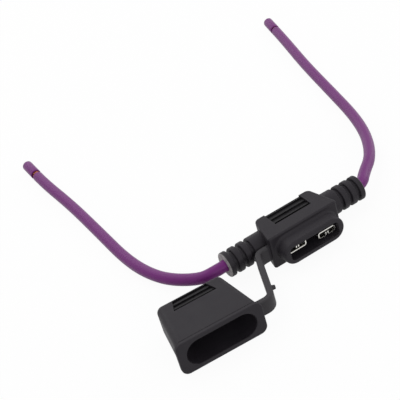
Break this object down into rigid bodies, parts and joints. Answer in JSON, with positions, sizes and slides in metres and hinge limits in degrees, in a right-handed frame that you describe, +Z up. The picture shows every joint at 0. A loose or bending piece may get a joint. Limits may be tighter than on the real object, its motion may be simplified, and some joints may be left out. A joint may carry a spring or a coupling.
{
  "type": "inline_fuse_holder",
  "caption": "Inline holder for a standard blade fuse: moulded body with ribbed strain reliefs, tethered push-on cap and wire leads.",
  "frame": {"origin": "on the flat underside of the moulded body, straight below the axis of the two strain reliefs and midway between them", "axes": "+X along the strain reliefs, towards the right-hand lead; +Y back, away from the fuse mouth; +Z up from the underside"},
  "size_m": [0.1568, 0.1821, 0.0132],
  "materials": {
    "body_moulding": "soft satin moulding",
    "tinned_brass": "bright tin plating",
    "lead_insulation": "smooth extruded insulation",
    "copper_core": "bare stranded copper"
  },
  "bodies": {
    "holder": {"holder_body": "body_moulding", "terminal_left": "tinned_brass", "terminal_right": "tinned_brass", "insulation_left": "lead_insulation", "insulation_right": "lead_insulation", "conductor_left": "copper_core", "conductor_right": "copper_core", "end_sleeve_left": "lead_insulation", "end_sleeve_right": "lead_insulation"},
    "tether": {"strap": "body_moulding"},
    "cap": {"cap": "body_moulding"}
  },
  "joints": [
    {"name": "cap_swing", "type": "hinge", "parent": "holder", "child": "tether", "pos_m": [-0.025, -0.0241, 0.0066], "axis": [0, 0, 1], "range_deg": [0, 183.9], "deforming": ["strap"]},
    {"name": "cap_push", "type": "slide", "parent": "tether", "child": "cap", "axis": [-0.068, -0.9977, 0], "range_m": [0, 0.0055]}
  ]
}
